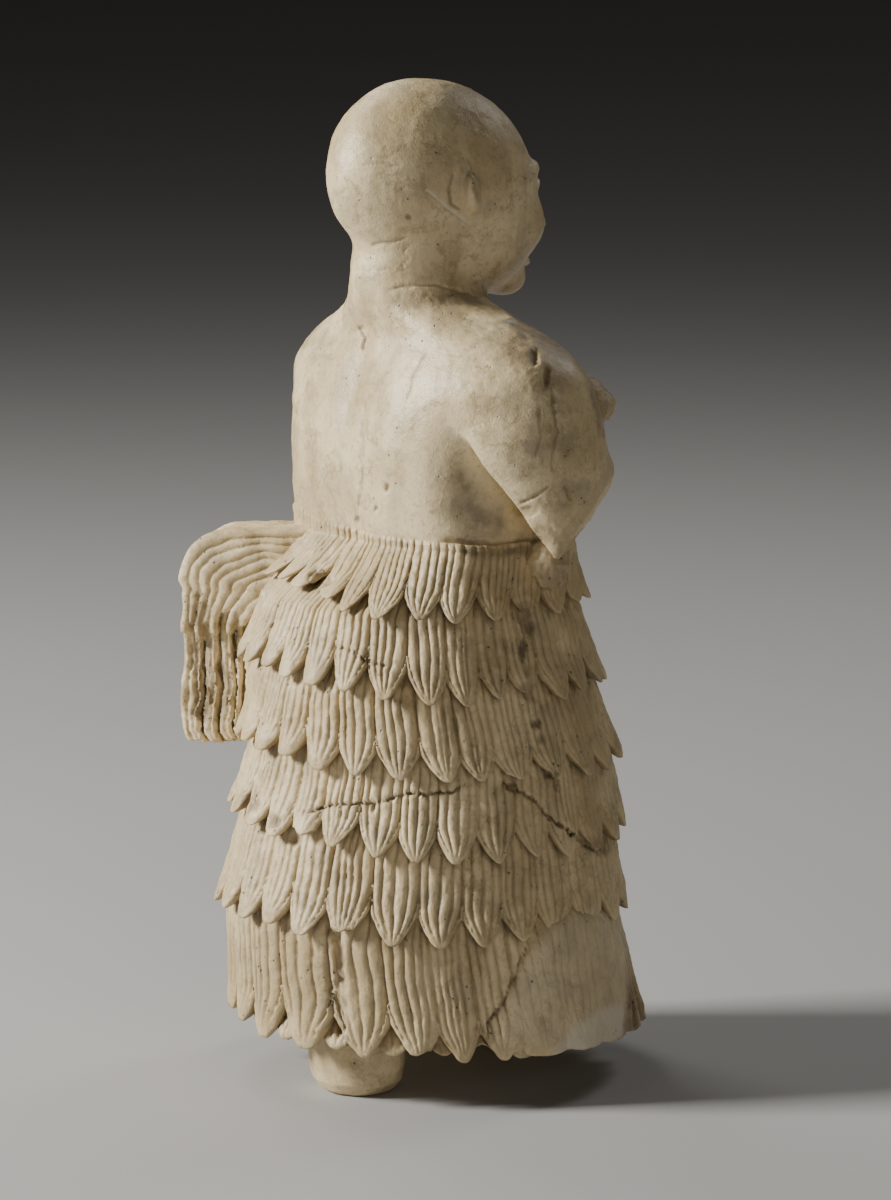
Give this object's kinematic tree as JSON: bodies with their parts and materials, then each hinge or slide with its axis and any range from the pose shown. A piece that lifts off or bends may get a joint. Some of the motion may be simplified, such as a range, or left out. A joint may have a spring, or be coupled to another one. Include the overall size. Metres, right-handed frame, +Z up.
{
  "type": "worshipper statuette",
  "caption": "Standing stone figure with a shaven head, bare torso, bent arms and a long tiered fleece skirt, worn and broken, resting on the stumps of its base.",
  "frame": {"origin": "on the surface the figure stands on, below the middle of its plan", "axes": "+Z up, the figure faces -Y, its right hand side is -X"},
  "size_m": [0.1966, 0.2016, 0.455],
  "materials": {
    "alabaster": "cream gypsum alabaster, satin where it is bare and smooth, matt and stained where it is broken"
  },
  "bodies": {
    "root": {"statuette": "alabaster"}
  },
  "joints": []
}
